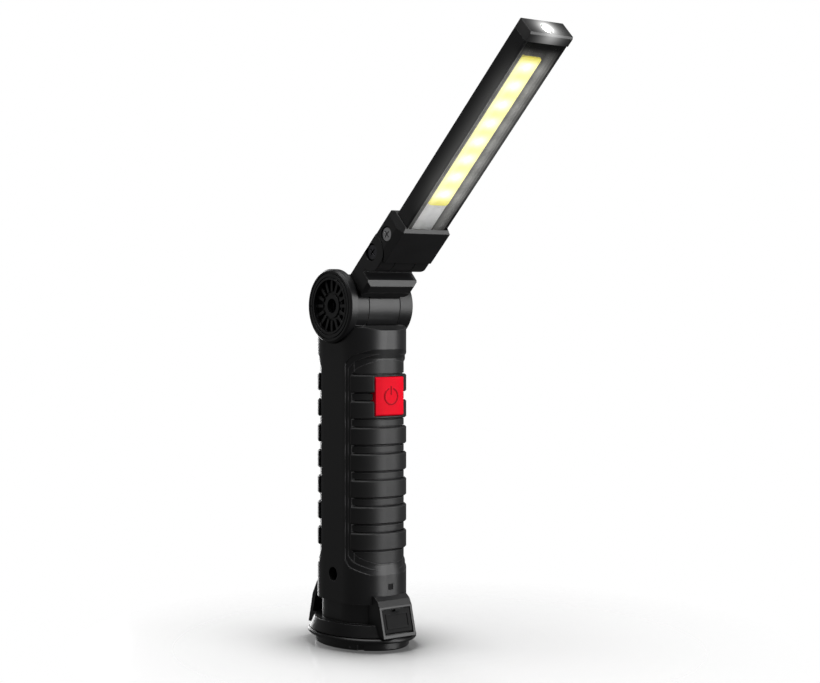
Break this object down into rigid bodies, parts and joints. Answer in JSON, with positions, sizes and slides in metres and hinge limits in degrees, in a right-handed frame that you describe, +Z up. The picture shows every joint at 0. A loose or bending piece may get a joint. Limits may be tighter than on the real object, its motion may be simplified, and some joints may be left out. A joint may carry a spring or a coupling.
{
  "type": "folding magnetic work light",
  "caption": "Hand-held folding work light: ribbed grip with red button, tilting arm, slim lamp head with a lit strip and tip spot, magnetic swivel foot with a fold-out hook.",
  "frame": {"origin": "centre of the foot's flat underside, which the light stands on or clings with", "axes": "+Z up the handle, -Y the front (red button and the way the lamp leans), -X the dial side"},
  "size_m": [0.038, 0.1342, 0.232],
  "materials": {
    "black_shell": "satin moulded, fine grain",
    "grip_rubber": "matt, soft-touch",
    "dial_black": "satin",
    "red_button": "satin",
    "lamp_black": "semi-gloss",
    "clear_cover": "clear, polished",
    "phosphor": "smooth silicone",
    "cob_metal": "satin",
    "led_package": "smooth",
    "window_clear": "translucent smoke",
    "board_green": "solder mask",
    "switch_black": "moulded",
    "cell_sleeve": "shrink sleeve over a metal can",
    "spring_nickel": "nickel plated",
    "dark_screws": "black oxide",
    "magnet_nickel": "nickel plated",
    "hook_black": "smooth"
  },
  "bodies": {
    "handle": {"handle_shell_left": "black_shell", "handle_shell_right": "black_shell", "front_grip": "grip_rubber", "rear_grip": "grip_rubber", "control_board": "board_green", "tact_switch": "switch_black", "indicator_window": "window_clear", "indicator_led": "led_package", "board_components": "switch_black", "battery_cell": "cell_sleeve", "battery_top_contact": "spring_nickel", "battery_spring": "spring_nickel", "shell_screw": "dark_screws", "hinge_dial": "dial_black", "hinge_bolt": "dark_screws", "hinge_spring_washer": "spring_nickel", "hinge_nut": "dark_screws", "base_collar": "black_shell", "base_trim_ring": "black_shell", "usb_socket": "spring_nickel"},
    "button": {"power_button": "red_button", "switch_plunger": "switch_black"},
    "arm": {"tilt_arm": "black_shell", "knuckle_bolt": "dark_screws", "knuckle_nut": "dark_screws"},
    "head": {"head_socket": "black_shell", "head_screw": "dark_screws", "lamp_frame": "lamp_black", "heat_spreader": "cob_metal", "cob_board": "cob_metal", "cob_phosphor": "phosphor", "lamp_bezel": "lamp_black", "lamp_lens": "clear_cover", "end_cap": "lamp_black", "spot_board": "board_green", "spot_led": "led_package", "spot_lens": "clear_cover"},
    "flap": {"usb_flap": "grip_rubber"},
    "swivel": {"swivel_foot": "black_shell", "base_magnet": "magnet_nickel", "pivot_washer": "spring_nickel", "pivot_screw": "dark_screws", "hook_pins": "dark_screws"},
    "hook": {"hanging_hook": "hook_black"}
  },
  "joints": [
    {"name": "arm_tilt", "type": "hinge", "parent": "handle", "child": "arm", "pos_m": [0, 0, 0.133], "axis": [1, 0, 0], "range_deg": [-136.7, 43.3]},
    {"name": "head_fold", "type": "hinge", "parent": "arm", "child": "head", "pos_m": [0, -0.02183, 0.15357], "axis": [1, 0, 0], "range_deg": [0, 90]},
    {"name": "power_press", "type": "slide", "parent": "handle", "child": "button", "axis": [0, 1, 0], "range_m": [0, 0.0008], "stiffness_N_per_m": 800},
    {"name": "usb_flap_hinge", "type": "hinge", "parent": "handle", "child": "flap", "pos_m": [0, -0.02317, 0.00739], "axis": [1, 0, 0], "range_deg": [0, 90]},
    {"name": "foot_swivel", "type": "hinge", "parent": "handle", "child": "swivel", "pos_m": [0, 0, 0], "axis": [0, 0, 1], "continuous": true},
    {"name": "hook_fold", "type": "hinge", "parent": "swivel", "child": "hook", "pos_m": [0, -0.011, 0.0012], "axis": [-1, 0, 0], "range_deg": [0, 90]}
  ]
}
